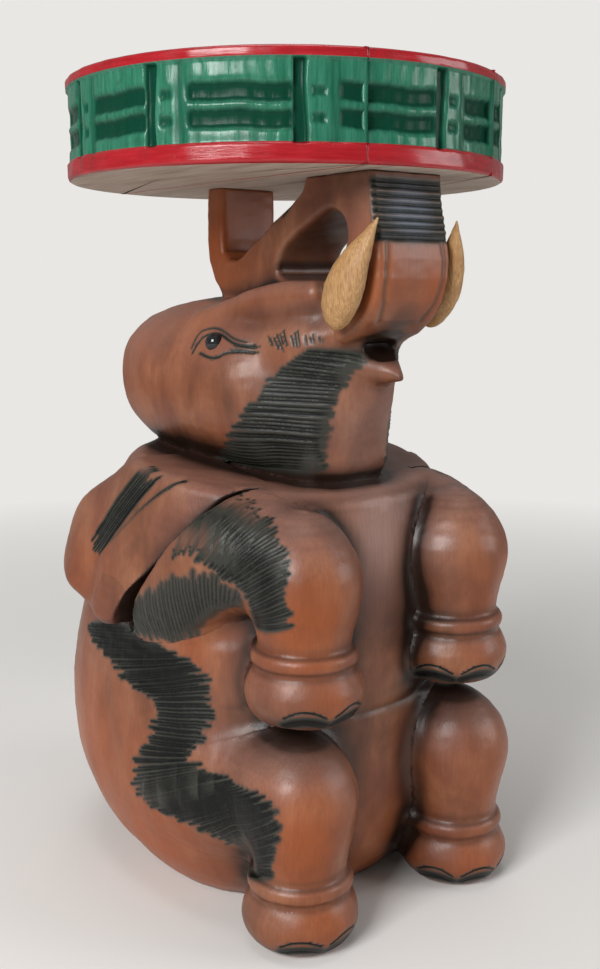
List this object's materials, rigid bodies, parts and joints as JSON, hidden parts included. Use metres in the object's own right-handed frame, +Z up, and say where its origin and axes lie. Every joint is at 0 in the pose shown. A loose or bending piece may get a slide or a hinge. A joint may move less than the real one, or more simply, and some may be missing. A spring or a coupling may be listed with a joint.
{
  "type": "carved elephant stool",
  "caption": "Carved wooden stool: a seated elephant figure whose raised trunk carries a round painted seat.",
  "frame": {"origin": "on the ground, at the middle of the torso's flat base, below the seat's axis", "axes": "+Z up; the elephant faces -Y, so its right side is -X and its back is +Y; left and right mirror about the YZ plane"},
  "size_m": [0.28, 0.3141, 0.5215],
  "materials": {
    "carved_wood": "stained and waxed, satin, with black painted hatching",
    "tusk_wood": "bare pale wood, waxed",
    "eye_bead": "glossy black bead",
    "seat_enamel": "gloss enamel, green band between red rims, bare wood below",
    "dowel_wood": "bare hardwood"
  },
  "bodies": {
    "root": {"torso": "carved_wood", "head": "carved_wood", "trunk": "carved_wood", "left_ear": "carved_wood", "right_ear": "carved_wood", "left_tusk": "tusk_wood", "right_tusk": "tusk_wood", "left_eye": "eye_bead", "right_eye": "eye_bead", "left_front_leg": "carved_wood", "right_front_leg": "carved_wood", "left_rear_leg": "carved_wood", "right_rear_leg": "carved_wood", "seat_board_left": "seat_enamel", "seat_board_middle": "seat_enamel", "seat_board_right": "seat_enamel", "neck_dowel": "dowel_wood", "trunk_dowel": "dowel_wood", "front_leg_dowels": "dowel_wood", "rear_leg_dowels": "dowel_wood", "ear_dowels": "dowel_wood", "seat_dowels": "dowel_wood", "seat_board_dowels": "dowel_wood"}
  },
  "joints": []
}
